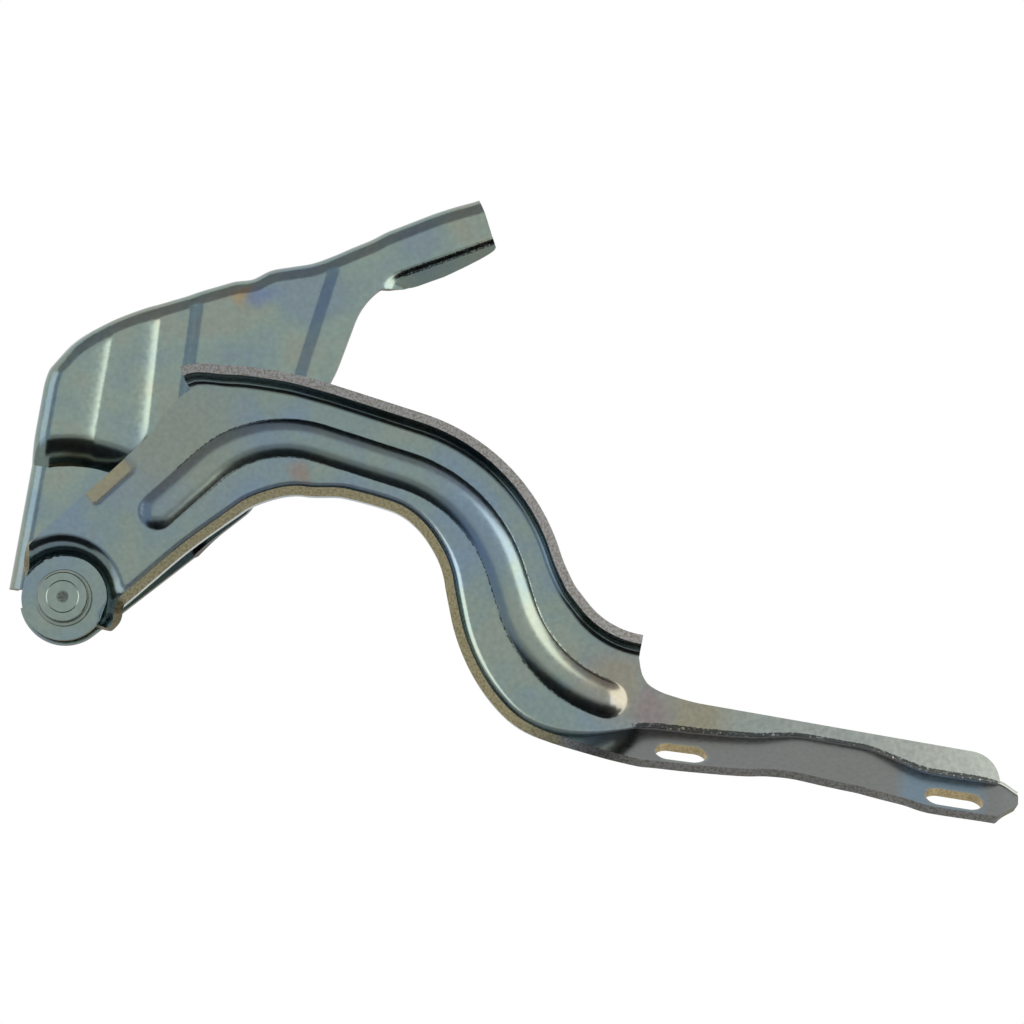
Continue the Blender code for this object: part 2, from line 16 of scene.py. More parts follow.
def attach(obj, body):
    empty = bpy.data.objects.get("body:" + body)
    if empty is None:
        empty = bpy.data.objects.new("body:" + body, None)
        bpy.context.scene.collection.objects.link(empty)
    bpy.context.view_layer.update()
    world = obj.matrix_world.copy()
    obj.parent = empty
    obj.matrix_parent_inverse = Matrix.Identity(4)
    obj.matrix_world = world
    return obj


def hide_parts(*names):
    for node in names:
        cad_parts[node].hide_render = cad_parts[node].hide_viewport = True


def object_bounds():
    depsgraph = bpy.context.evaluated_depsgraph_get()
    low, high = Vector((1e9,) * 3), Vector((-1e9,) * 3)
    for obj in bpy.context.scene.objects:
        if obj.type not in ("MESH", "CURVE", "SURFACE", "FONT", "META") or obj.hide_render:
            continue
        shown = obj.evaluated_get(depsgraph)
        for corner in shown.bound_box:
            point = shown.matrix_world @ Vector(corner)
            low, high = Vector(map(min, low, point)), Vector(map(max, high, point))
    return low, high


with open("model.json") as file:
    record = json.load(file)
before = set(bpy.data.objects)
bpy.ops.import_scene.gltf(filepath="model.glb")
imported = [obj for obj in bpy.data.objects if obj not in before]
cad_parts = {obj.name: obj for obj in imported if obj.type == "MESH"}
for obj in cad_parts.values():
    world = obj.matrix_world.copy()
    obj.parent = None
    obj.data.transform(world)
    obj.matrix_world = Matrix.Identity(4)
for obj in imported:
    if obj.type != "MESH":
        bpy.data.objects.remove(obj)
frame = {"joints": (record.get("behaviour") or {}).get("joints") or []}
cad_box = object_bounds()
pivot = Vector(frame["joints"][0]["pos_m"])

# The body bracket is bolted to the car. It is one blank of 3 mm steel sheet, pressed with a joggle
# round the pivot and four steps across its face. The top edge is folded back as the bolting flange,
# and the edge under the pad is turned back as a stiffening lip.
SHEET = 0.0030
BEND_RADIUS = 0.0047
STUB = Vector((-0.0193, 0.0036))
SIDE_HEADING = radians(80.5)
SIDE_STRAIGHT = 0.0678
CORNER_RADIUS = 0.028
CORNER_TURN = radians(-64.0)
TOP_STRAIGHT = 0.082
PAD_TURN = radians(5.0)
PAD_TURN_RADIUS = 0.060
PAD_STRAIGHT = 0.045
PIVOT_EDGE_RADIUS = 0.0150
PIVOT_EDGE_TURN = radians(128.1)
LOWER_STRAIGHT = 0.064
LOWER_CORNER_TURN = radians(19.9)
LOWER_CORNER_RADIUS = 0.008
RIGHT_STRAIGHT = 0.047
RIGHT_TURN = radians(12.0)
RIGHT_TURN_RADIUS = 0.050
RIGHT_UPPER_STRAIGHT = 0.014
THROAT_TURN = radians(-50.0)
THROAT_RADIUS = 0.024
UNDER_PAD_STRAIGHT = 0.0345
JOGGLE_RADIUS = 0.0455
JOGGLE_RAMP = 0.0105
FLOOR_HEIGHT = 0.0040
STEP_HEIGHT = 0.0014
STEP_RAMP = 0.0060
STEP_RUN = 0.0095
SIDE_LIP = 0.0015
BODY_FLANGE = 0.0190
PAD_LIP_BEND = radians(60.0)
PAD_LIP_RADIUS = 0.0019
PAD_LIP_LENGTH = 0.0052
PAD_LIP_START = 0.004
PAD_LIP_BLEND = 0.009
PAD_LIP_RISE = 0.012
PAD_LIP_END = 0.020
EDGE_MARGIN = 0.0008
BOLT_HOLE_RADIUS = 0.0045
BOLT_PITCH = 0.052
RIVET_NECK_RADIUS = 0.0042
GAP = 0.0003
FIRST_STEP = ((0.0152, 0.0868), (0.0099, 0.0548))
SECOND_STEP = ((0.0310, 0.0937), (0.0270, 0.0531))
THIRD_STEP = ((0.0434, 0.0983), (0.0406, 0.0762))
FOURTH_STEP = ((0.0887, 0.1092), (0.0774, 0.0729))
STUB_ROOM = 0.2
STUB_RUN = 0.012
PIVOT_PUNCH = 0.010
BOLT_PUNCH = 0.012
BRACKET_FINE = 6


def clamp(value):
    return min(1.0, max(0.0, value))


def ease(value):
    """A smooth rise from 0 to 1."""
    t = clamp(value)
    return t * t * (3 - 2 * t)


def follow(knots, place):
    """A smooth curve through (place, value) knots, with no overshoot between them."""
    if place <= knots[0][0]:
        return knots[0][1]
    for k in range(len(knots) - 1):
        (x0, y0), (x1, y1) = knots[k], knots[k + 1]
        if place > x1:
            continue
        slope = (y1 - y0) / (x1 - x0)
        before = (y0 - knots[k - 1][1]) / (x0 - knots[k - 1][0]) if k else slope
        last = k + 2 == len(knots)
        after = slope if last else (knots[k + 2][1] - y1) / (knots[k + 2][0] - x1)
        m0 = 2 * before * slope / (before + slope) if before * slope > 0 else 0.0
        m1 = 2 * after * slope / (after + slope) if after * slope > 0 else 0.0
        t = (place - x0) / (x1 - x0)
        rise = y0 * (2 * t ** 3 - 3 * t ** 2 + 1) + y1 * (3 * t ** 2 - 2 * t ** 3)
        return rise + (x1 - x0) * (m0 * (t ** 3 - 2 * t ** 2 + t) + m1 * (t ** 3 - t ** 2))
    return knots[-1][1]


class BlankEdge:
    """Straight runs and tangent arcs in the XZ plane. A run is (length, turn), turn 0 where straight."""

    def __init__(self, start, heading, runs):
        self.runs = []
        self.marks = [0.0]
        point = Vector(start)
        for length, turn in runs:
            self.runs.append((self.marks[-1], point.copy(), heading, length, turn))
            point += self.chord(heading, length, turn)
            heading += turn
            self.marks.append(self.marks[-1] + length)

    @staticmethod
    def chord(heading, length, turn):
        if abs(turn) < 1e-9:
            return length * Vector((cos(heading), sin(heading)))
        radius = length / turn
        return radius * Vector((sin(heading + turn) - sin(heading), cos(heading) - cos(heading + turn)))

    def at(self, place):
        """The point and the heading at a distance along the edge; both ends run on straight."""
        run = self.runs[0]
        for other in self.runs:
            if place >= other[0]:
                run = other
        start, point, heading, length, turn = run
        along = place - start
        if along < 0 or along > length:
            over = along if along < 0 else along - length
            base = point if along < 0 else point + self.chord(heading, length, turn)
            facing = heading if along < 0 else heading + turn
            return base + self.chord(facing, over, 0.0), facing
        part = turn * along / length
        return point + self.chord(heading, along, part), heading + part


def arc(radius, turn):
    return radius * abs(turn), turn


def spread(start, end, spacing):
    """Even places from start up to, but not including, end."""
    count = max(1, round((end - start) / spacing))
    return [start + (end - start) * k / count for k in range(count)]


def press_bend(radius, angle, straight, arc_steps, straight_steps):
    """Offsets (out, up) of a flange that leaves a plate: a bend, then a flat."""
    length = radius * max(abs(angle), pi / 2)
    points = []
    for k in range(1, arc_steps + 1):
        turned = angle * k / arc_steps
        if abs(angle) < 1e-6:
            points.append((length * k / arc_steps, 0.0))
        else:
            curve = length / angle
            points.append((curve * sin(turned), curve * (1 - cos(turned))))
    out, up = points[-1]
    for k in range(1, straight_steps + 1):
        run = straight * k / straight_steps
        points.append((out + run * cos(angle), up + run * sin(angle)))
    return points


def linear(colour):
    """An sRGB hex colour as the linear values a shader takes."""
    channels = [int(colour[k:k + 2], 16) / 255 for k in (1, 3, 5)]
    return tuple(c / 12.92 if c <= 0.04045 else ((c + 0.055) / 1.055) ** 2.4 for c in channels) + (1.0,)


def add(owner, kind, settings=(), links=()):
    """Adds a node with its links and its settings: sockets, attributes, or a ramp's (place, hex) stops."""
    node = owner.node_tree.nodes.new(kind)
    for name, value in settings:
        if name == "stops":
            elements = node.color_ramp.elements
            while len(elements) < len(value):
                elements.new(0.5)
            for element, (place, colour) in zip(elements, value):
                element.position, element.color = place, linear(colour)
        elif isinstance(name, int) or name in node.inputs:
            node.inputs[name].default_value = value
        else:
            setattr(node, name, value)
    for name, source in links:
        owner.node_tree.links.new(source, node.inputs[name])
    return node


def passivated_zinc(name, film, patch_seed, stains_and_reflections, worked):
    """Zinc-plated pressed steel with a clear passivate film.

    The plating gives a soft grey mirror. The film is thinner or thicker in patches some 25 mm wide, which
    tints it blue, grey or straw. A listed tint (place, radius, colour) is a stain where the bath dried last;
    two on the bracket are painted reflections instead. A worked (mark, colour) is where a tool smoothed the
    steel. Along a crease, shade is painted as a dark dotted line.
    """
    made = bpy.data.materials.new(name)
    made.use_nodes = True
    shader = made.node_tree.nodes["Principled BSDF"]
    shader.inputs["Metallic"].default_value = 1.0
    place = add(made, "ShaderNodeTexCoord").outputs["Object"]
    shifted = add(made, "ShaderNodeMapping", [("Location", (patch_seed, 0.0, 0.0))], [("Vector", place)])
    patches = add(made, "ShaderNodeTexNoise", [("Scale", 1 / 0.025), ("Detail", 3.0), ("Roughness", 0.55)],
                  [("Vector", shifted.outputs["Vector"])])
    colour = add(made, "ShaderNodeValToRGB", [("stops", film)],
                 [("Fac", patches.outputs["Fac"])]).outputs["Color"]
    ragged = add(made, "ShaderNodeVectorMath", [("operation", "MULTIPLY_ADD"), (1, (0.02, 0.02, 0.02))],
                 [(0, patches.outputs["Color"]), (2, place)])
    # Each listed tint is blended in round its place, a stain or a painted reflection as its call says.
    for centre, radius, stain_and_reflection_tint in stains_and_reflections:
        away = add(made, "ShaderNodeVectorMath", [("operation", "DISTANCE"), (1, [c + 0.01 for c in centre])],
                   [(0, ragged.outputs["Vector"])])
        stain_and_reflection_weight = add(made, "ShaderNodeMapRange",
                    [("From Min", radius), ("From Max", radius * 0.35), ("To Max", 0.85)],
                    [("Value", away.outputs["Value"])])
        colour = add(made, "ShaderNodeMix", [("data_type", "RGBA"), (7, linear(stain_and_reflection_tint))],
                     [(0, stain_and_reflection_weight.outputs["Result"]), (6, colour)]).outputs[2]
    for mark, tone in worked:
        pressed = add(made, "ShaderNodeAttribute", [("attribute_name", mark)])
        colour = add(made, "ShaderNodeMix", [("data_type", "RGBA"), (7, linear(tone))],
                     [(0, pressed.outputs["Fac"]), (6, colour)]).outputs[2]
    crease = add(made, "ShaderNodeAttribute", [("attribute_name", "crease")])
    # Shade is painted along a crease as a dark dotted line, its dots 0.7 mm across
    dots = add(made, "ShaderNodeTexNoise", [("Scale", 1 / 0.0007), ("Detail", 2.0)], [("Vector", place)])
    crease_shade = add(made, "ShaderNodeMath", [("operation", "MULTIPLY")],
                [(0, crease.outputs["Fac"]), (1, dots.outputs["Fac"])])
    painted_crease_shade = add(made, "ShaderNodeMapRange", [("From Min", 0.30), ("From Max", 0.42), ("To Max", 0.85)],
                  [("Value", crease_shade.outputs[0])])
    colour = add(made, "ShaderNodeMix", [("data_type", "RGBA"), (7, linear("#1C2024"))],
                 [(0, painted_crease_shade.outputs["Result"]), (6, colour)]).outputs[2]
    mottle = add(made, "ShaderNodeTexNoise", [("Scale", 1 / 0.0015), ("Detail", 2.0)], [("Vector", place)])
    shade = add(made, "ShaderNodeValToRGB", [("stops", [(0.30, "#EFEFEF"), (0.70, "#FFFFFF")])],
                [("Fac", mottle.outputs["Fac"])])
    mixed = add(made, "ShaderNodeMix", [("data_type", "RGBA"), ("blend_type", "MULTIPLY"), (0, 1.0)],
                [(6, colour), (7, shade.outputs["Color"])])
    made.node_tree.links.new(mixed.outputs[2], shader.inputs["Base Color"])
    wiped = add(made, "ShaderNodeMapRange", [("To Min", 0.13), ("To Max", 0.25)],
                [("Value", mottle.outputs["Fac"])])
    made.node_tree.links.new(wiped.outputs["Result"], shader.inputs["Roughness"])
    # The rolled surface is 10 microns deep; its grain is far finer than 1.5 mm and is drawn coarse to show
    grain = add(made, "ShaderNodeBump", [("Strength", 0.3), ("Distance", 0.00001)],
                [("Height", mottle.outputs["Fac"])])
    made.node_tree.links.new(grain.outputs["Normal"], shader.inputs["Normal"])
    return made


def sheared_steel(name, light, dark, raised_light, raised_from):
    """The cut edge of the blank: torn steel, plated over, tan with brown specks in its pits.

    Beyond a height towards the viewer the edge faces the open room when it drains, and dries grey.
    """
    made = bpy.data.materials.new(name)
    made.use_nodes = True
    shader = made.node_tree.nodes["Principled BSDF"]
    shader.inputs["Metallic"].default_value = 1.0
    shader.inputs["Roughness"].default_value = 0.42
    place = add(made, "ShaderNodeTexCoord").outputs["Object"]
    # The pits of a real cut edge are finer than 0.8 mm and are drawn coarse to show
    pits = add(made, "ShaderNodeTexNoise", [("Scale", 1 / 0.0008), ("Detail", 3.0), ("Roughness", 0.6)],
               [("Vector", place)])
    axes = add(made, "ShaderNodeSeparateXYZ", (), [(0, place)])
    raised = add(made, "ShaderNodeMapRange", [("From Min", -raised_from), ("From Max", -raised_from - 0.001)],
                 [("Value", axes.outputs["Y"])])
    tone = add(made, "ShaderNodeMix", [("data_type", "RGBA"), (6, linear(light)), (7, linear(raised_light))],
               [(0, raised.outputs["Result"])])
    pitted = add(made, "ShaderNodeMapRange", [("From Min", 0.56), ("From Max", 0.40), ("To Max", 0.7)],
                 [("Value", pits.outputs["Fac"])])
    mixed = add(made, "ShaderNodeMix", [("data_type", "RGBA"), (7, linear(dark))],
                [(0, pitted.outputs["Result"]), (6, tone.outputs[2])])
    made.node_tree.links.new(mixed.outputs[2], shader.inputs["Base Color"])
    pits_and_pit_shade = add(made, "ShaderNodeBump", [("Strength", 0.6), ("Distance", 0.0001)],
               [("Height", pits.outputs["Fac"])])
    made.node_tree.links.new(pits_and_pit_shade.outputs["Normal"], shader.inputs["Normal"])
    return made


BRACKET_FILM = [(0.36, "#7C8D93"), (0.45, "#809290"), (0.55, "#86978F"), (0.64, "#8B948A")]
# The straw and blue tints by the top edge are painted reflections of a small dent's two slopes.
bracket_zinc = passivated_zinc("zinc_plated_pressed_steel_bracket", BRACKET_FILM, 0.31, [
    ((0.132, -0.004, 0.123), 0.009, "#938E7C"), ((0.0609, -0.005, 0.1020), 0.005, "#9C8A68"),
    ((0.0660, -0.005, 0.1015), 0.006, "#70809C")], [])
bracket_edge = sheared_steel("sheared_edge_of_bracket", "#8C8A84", "#5E5C54", "#8C8A84", 0.1)
punched_wall = sheared_steel("punched_wall_of_sheet", "#C8BA94", "#A08E68", "#C8BA94", 0.1)

OUTER_EDGE = BlankEdge(STUB, SIDE_HEADING, [
    (SIDE_STRAIGHT, 0.0), arc(CORNER_RADIUS, CORNER_TURN), (TOP_STRAIGHT, 0.0),
    arc(PAD_TURN_RADIUS, PAD_TURN), (PAD_STRAIGHT, 0.0)])
INNER_EDGE = BlankEdge((-PIVOT_EDGE_RADIUS, 0), radians(-90), [
    arc(PIVOT_EDGE_RADIUS, PIVOT_EDGE_TURN), (LOWER_STRAIGHT, 0.0),
    arc(LOWER_CORNER_RADIUS, LOWER_CORNER_TURN), (RIGHT_STRAIGHT, 0.0),
    arc(RIGHT_TURN_RADIUS, RIGHT_TURN), (RIGHT_UPPER_STRAIGHT, 0.0), arc(THROAT_RADIUS, THROAT_TURN),
    (UNDER_PAD_STRAIGHT, 0.0)])
CORNER, TOP, PAD_BEND, PAD, OUTER_END = OUTER_EDGE.marks[1:]
LOWER_RUN, LOWER_CORNER, RIGHT_SIDE, RIGHT_BEND = INNER_EDGE.marks[1:5]
THROAT, UNDER_PAD, INNER_END = INNER_EDGE.marks[6:]


def inner_place(outer):
    """The place on the plain edge that faces a place on the flanged edge."""
    knots = [(0.0, 0.0), (0.010, LOWER_RUN), (0.030, LOWER_RUN + 0.030), (CORNER, LOWER_CORNER - 0.006),
             (TOP, RIGHT_SIDE + 0.006), (TOP + 0.040, RIGHT_SIDE + 0.025),
             (TOP + 0.062, RIGHT_BEND + 0.002), (PAD_BEND - 0.002, THROAT + 0.001),
             (PAD + 0.010, UNDER_PAD), (OUTER_END, INNER_END)]
    return follow(knots, outer)


def step_offset(upper, lower, point):
    """How far a point lies to the right of a step that runs down the bracket."""
    a, b = Vector(upper), Vector(lower)
    run = (a - b).normalized()
    return (point - b).dot(Vector((run.y, -run.x)))


def top_bow(outer):
    """How far the top edge bows out of its straight line, with a small valley where the steps meet it."""
    return follow([(-0.0245, 0.0), (-0.0200, -0.0009), (-0.0155, -0.0013), (-0.0104, -0.0014),
                   (-0.0030, -0.0009), (0.004, 0.0004), (0.011, 0.0011), (0.018, 0.0015), (0.045, 0.0015),
                   (0.052, 0.0005), (0.059, 0.0016), (0.066, 0.0008), (0.073, 0.0), (0.080, 0.0002),
                   (0.087, 0.0008), (0.093, 0.0009), (0.101, 0.0016), (0.115, 0.0016), (0.122, 0.0013),
                   (0.131, 0.0004)], outer - TOP)


def bracket_height(point):
    """The height of the bracket's plate: joggle, then four pressed steps across it."""
    rise = clamp((point.length - JOGGLE_RADIUS) / JOGGLE_RAMP)
    joggle = 1 - (1 - rise) ** 2
    first = clamp(step_offset(*FIRST_STEP, point) / STEP_RUN + 1) ** 2
    second = clamp(step_offset(*SECOND_STEP, point) / STEP_RUN + 1) ** 2
    third = ease(step_offset(*THIRD_STEP, point) / STEP_RAMP + 0.5)
    fourth = ease(step_offset(*FOURTH_STEP, point) / STEP_RAMP + 0.5)
    steps = STEP_HEIGHT * (2 - first - second + third + fourth)
    return -SHEET / 2 + joggle * (FLOOR_HEIGHT + steps)


def bracket_section(outer):
    """Points across the bracket, from the flange's free edge to the plain edge."""
    a, heading = OUTER_EDGE.at(outer)
    b, facing = INNER_EDGE.at(inner_place(outer))
    inward = Vector((sin(heading), -cos(heading)))
    outward = Vector((sin(facing), -cos(facing)))
    bow = top_bow(outer)
    foot = a + inward * (BEND_RADIUS + SHEET / 2 - bow)
    deep = SIDE_LIP + (BODY_FLANGE - SIDE_LIP) * ease((outer - CORNER - 0.004) / 0.030)
    under_pad = ease((outer - PAD - PAD_LIP_START) / PAD_LIP_BLEND)
    lens = sqrt(ease((outer - PAD - PAD_LIP_START) / PAD_LIP_RISE) * clamp((OUTER_END - outer) / PAD_LIP_END))
    lip = press_bend(PAD_LIP_RADIUS, PAD_LIP_BEND * under_pad, EDGE_MARGIN + PAD_LIP_LENGTH * lens,
                     2 * BRACKET_FINE, BRACKET_FINE)
    # The stub is too narrow for the full margin, and its sections would fold back on themselves
    room = STUB_ROOM + (1 - STUB_ROOM) * ease(outer / STUB_RUN)
    edge = b - outward * room * (PAD_LIP_RADIUS * pi / 2 + EDGE_MARGIN)
    flange = press_bend(BEND_RADIUS, pi / 2, deep, 3 * BRACKET_FINE, 2 * BRACKET_FINE)
    top_height = bracket_height(foot)
    section = []
    for out, up in reversed(flange):
        point = foot - inward * (out - bow * ease((up - BEND_RADIUS) / 0.006))
        section.append(Vector((point.x, -(top_height - up), point.y)))
    count = 13 * BRACKET_FINE
    for k in range(count + 1):
        point = foot.lerp(edge, k / count)
        section.append(Vector((point.x, -bracket_height(point), point.y)))
    for out, up in lip:
        point = edge + outward * out * room
        section.append(Vector((point.x, -(bracket_height(edge if under_pad else point) - up), point.y)))
    return section


def stand_in(piece, body, node):
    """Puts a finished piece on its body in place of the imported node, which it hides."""
    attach(piece, body)
    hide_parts(node)


def pressing(name, sections, finishes, marks, present=None):
    """A sheet lofted through sections, thickened both ways, its rim in the second finish.

    A mark (name, how strong at section i and point j) says where the press tools worked the surface, and
    where shade is painted along a crease.
    """
    bm = bmesh.new()
    verts = {}
    layers = [(bm.verts.layers.float.new(mark), strength) for mark, strength in marks]
    for i in range(len(sections) - 1):
        for j in range(len(sections[0]) - 1):
            if present and not present(i, j):
                continue
            corners = []
            for key in ((i, j), (i, j + 1), (i + 1, j + 1), (i + 1, j)):
                if key not in verts:
                    verts[key] = bm.verts.new(sections[key[0]][key[1]])
                    for layer, strength in layers:
                        verts[key][layer] = strength(*key)
                corners.append(verts[key])
            bm.faces.new(corners)
    bmesh.ops.remove_doubles(bm, verts=bm.verts, dist=0.00001)
    bmesh.ops.recalc_face_normals(bm, faces=bm.faces)
    mesh = bpy.data.meshes.new(name)
    bm.to_mesh(mesh)
    bm.free()
    mesh.shade_smooth()
    for finish in finishes:
        mesh.materials.append(finish)
    piece = bpy.data.objects.new(name, mesh)
    piece.location = pivot
    bpy.context.scene.collection.objects.link(piece)
    thicken = piece.modifiers.new("sheet", "SOLIDIFY")
    thicken.thickness = SHEET
    thicken.offset = 0.0
    thicken.use_even_offset = True
    thicken.use_quality_normals = True
    thicken.material_offset_rim = 1
    return piece


def punch(piece, name, frame_of_hole, length, width, depth, steps=24):
    """Punches a round or round-ended hole; the frame's X runs along it, its Z through the sheet."""
    bm = bmesh.new()
    ring = []
    for side in (1, -1):
        for k in range(steps + 1):
            angle = pi * k / steps - side * pi / 2
            x = side * (length - width) / 2 + width / 2 * cos(angle)
            ring.append(bm.verts.new(frame_of_hole @ Vector((x, width / 2 * sin(angle), -depth / 2))))
    bmesh.ops.remove_doubles(bm, verts=bm.verts, dist=0.00001)
    face = bm.faces.new([vert for vert in ring if vert.is_valid])
    lift = bmesh.ops.extrude_face_region(bm, geom=[face])
    moved = [item for item in lift["geom"] if isinstance(item, bmesh.types.BMVert)]
    bmesh.ops.translate(bm, verts=moved, vec=frame_of_hole.to_3x3() @ Vector((0, 0, depth)))
    bmesh.ops.recalc_face_normals(bm, faces=bm.faces)
    mesh = bpy.data.meshes.new(name)
    bm.to_mesh(mesh)
    bm.free()
    mesh.materials.append(punched_wall)
    tool = bpy.data.objects.new(name, mesh)
    tool.location = pivot
    bpy.context.scene.collection.objects.link(tool)
    hole = piece.modifiers.new(name, "BOOLEAN")
    hole.operation = "DIFFERENCE"
    hole.solver = "EXACT"
    hole.material_mode = "TRANSFER"
    hole.object = tool
    return tool


def finish_pressing(piece, tools):
    """Applies the holes, takes the punches away and keeps the cut edges crisp."""
    bpy.context.view_layer.update()
    depsgraph = bpy.context.evaluated_depsgraph_get()
    mesh = bpy.data.meshes.new_from_object(piece.evaluated_get(depsgraph), depsgraph=depsgraph)
    piece.modifiers.clear()
    piece.data = mesh
    for tool in tools:
        bpy.data.objects.remove(tool, do_unlink=True)
    mesh.shade_smooth()
    mesh.set_sharp_from_angle(angle=radians(40))


def hole_frame(centre, along, through):
    """A frame with X along and Z through the sheet, for a punch."""
    made = Matrix((along, through.cross(along), through)).transposed().to_4x4()
    made.translation = centre
    return made


bracket_places = []
for start, end, spacing in [(0.0008, 0.010, 0.0012), (0.010, 0.034, 0.0042), (0.034, CORNER, 0.0030),
                            (CORNER, TOP, 0.0036), (TOP, PAD_BEND, 0.0036), (PAD_BEND, OUTER_END, 0.0044)]:
    bracket_places += spread(start, end, spacing / BRACKET_FINE)
bracket_places.append(OUTER_END)
PAD_FOLD_POINT = 5 * BRACKET_FINE + 13 * BRACKET_FINE + 1


def bracket_crease(i, j):
    """How strongly shade is painted, as a dark dotted line, where the pad's lip folds."""
    along = ease((bracket_places[i] - PAD - PAD_LIP_START) / PAD_LIP_BLEND)
    return 0.9 * along * clamp(1.2 - abs(j - PAD_FOLD_POINT - BRACKET_FINE) / BRACKET_FINE)


bracket = pressing("body_bracket_pressing", [bracket_section(place) for place in bracket_places],
                   [bracket_zinc, bracket_edge], [("crease", bracket_crease)])
across_x = Vector((1, 0, 0))
across_y = Vector((0, 1, 0))
top_heading = OUTER_EDGE.at(TOP + TOP_STRAIGHT / 2)[1]
along_top = Vector((cos(top_heading), 0, sin(top_heading)))
up_top = Vector((-sin(top_heading), 0, cos(top_heading)))
pivot_hole = hole_frame(Vector((0, SHEET / 2, 0)), across_x, across_y)
bracket_tools = [punch(bracket, "punch_pivot_hole", pivot_hole,
                       2 * (RIVET_NECK_RADIUS + GAP), 2 * (RIVET_NECK_RADIUS + GAP), PIVOT_PUNCH)]
for name, side in (("punch_rear_bolt", -1), ("punch_front_bolt", 1)):
    centre = -pivot + along_top * side * BOLT_PITCH / 2
    bracket_tools.append(punch(bracket, name, hole_frame(centre, along_top, up_top),
                               2 * BOLT_HOLE_RADIUS, 2 * BOLT_HOLE_RADIUS, BOLT_PUNCH))
finish_pressing(bracket, bracket_tools)
stand_in(bracket, "bracket", "body_bracket")

# The arm is the gooseneck that carries the bonnet. It is one blank of the same sheet, with a bead pressed
# along its web, a dished boss at the pivot, a flange along its back, and a turned lip along its inside
# that opens out at the foot into the bonnet's slotted bolting flange.
NECK_HEADING = radians(42.0)
NECK_STRAIGHT = 0.064
CREST_RADIUS = 0.038
CREST_TURN = radians(-60.0)
BACK_STRAIGHT = 0.030
DROP_RADIUS = 0.051
DROP_TURN = radians(-55.0)
DROP_STRAIGHT = 0.012
FOOT_RADIUS = 0.047
FOOT_TURN = radians(63.0)
FOOT_STRAIGHT = 0.1300
END_RADIUS = 0.0185
END_CENTRE = 0.0045
END_SHOULDER = 0.0030
END_TOP = 0.0205
END_SLANT_START = -0.0084
END_SLANT_END = 0.0031
END_SLANT_RISE = 0.83
BOSS_RADIUS = 0.0145
BOSS_RAMP = 0.0066
BOSS_FILLET = 0.25
BOSS_DEPTH = 0.0065
BEAD_HALF_WIDTH = 0.0060
BEAD_HEIGHT = 0.0015
BEAD_START = 0.0360
COIN_START = 0.027
COIN_LENGTH = 0.019
COIN_WIDTH = 0.0056
COIN_DEPTH = 0.0006
COIN_RAMP = 0.0008
UPPER_FLANGE_START = 0.0720
UPPER_FLANGE_HEIGHT = 0.0085
LIP_LENGTH = 0.0036
MOUNT_FLANGE_LENGTH = 0.0175
MOUNT_FLANGE_BEND = radians(50.0)
MOUNT_BEND_RADIUS = 0.0017
MOUNT_FLANGE_BLEND_START = -0.026
MOUNT_FLANGE_BLEND = 0.034
FOOT_WEB_TOP = 0.0045
FOOT_FOLD = 0.0047
FAR_FOLD = 0.0044
FOOT_JOGGLE = 0.0049
TIP_RADIUS = 0.0105
TIP_NOSE = 0.0062
TIP_PLATE = 0.0006
TIP_DROP = 0.0024
TIP_CHAMFER = 0.0068
TIP_CHAMFER_DEPTH = 0.0140
SLOT_WIDTH = 0.0090
NEAR_SLOT_LENGTH = 0.0170
FAR_SLOT_LENGTH = 0.0190
NEAR_SLOT_FROM_FOOT = 0.0190
SLOT_PITCH = 0.0900
SLOT_FROM_EDGE = 0.0060
SLOT_PUNCH = 0.008
GREY_START = -0.012
GREY_RAMP = 0.016
BLUE_START = 0.088
BLUE_END = 0.122
THRUST_WASHER = 0.0015
BOSS_BACK = THRUST_WASHER + 2 * GAP
WEB_MIDDLE = BOSS_BACK + SHEET / 2 + BOSS_DEPTH
RIVET_SHANK_RADIUS = 0.0050
BUSH_WALL = 0.0010
BUSH_RADIUS = RIVET_SHANK_RADIUS + GAP + BUSH_WALL
DISC_RADIUS = END_RADIUS - END_CENTRE
ARM_FINE = 3
FLANGE_POINTS = 4 * ARM_FINE

ARM_FILM = [(0.34, "#768A98"), (0.44, "#7A8C92"), (0.54, "#7E8F8B"), (0.66, "#869289")]
arm_zinc = passivated_zinc("zinc_plated_pressed_steel_arm", ARM_FILM, 0.0, [
    ((0.034, -0.0116, 0.052), 0.030, "#848C82"), ((0.275, -0.0116, -0.055), 0.110, "#8E948F"),
    ((0.180, -0.0116, -0.028), 0.016, "#8C8878"), ((0.207, -0.0116, -0.038), 0.018, "#8C8874"),
    ((0.192, -0.0116, -0.036), 0.008, "#857C7C"), ((0.078, -0.0116, 0.0430), 0.006, "#8A8078")],
    [("coined", "#8E8A72"), ("splay", "#767876"), ("blue_splay", "#6C8CA0")])
arm_edge = sheared_steel("sheared_edge_of_arm", "#8A866C", "#625C48", "#8E9092", 0.0205)

BEAD_LINE = BlankEdge((0, 0), NECK_HEADING, [
    (NECK_STRAIGHT, 0.0), arc(CREST_RADIUS, CREST_TURN), (BACK_STRAIGHT, 0.0), arc(DROP_RADIUS, DROP_TURN),
    (DROP_STRAIGHT, 0.0), arc(FOOT_RADIUS, FOOT_TURN), (FOOT_STRAIGHT, 0.0)])
CREST, BACK, DROP, DROP_END, FOOT_BEND, FOOT, TIP = BEAD_LINE.marks[1:]
UPPER_FLANGE_END = FOOT + 0.0004
BEAD_END = FOOT - 0.002


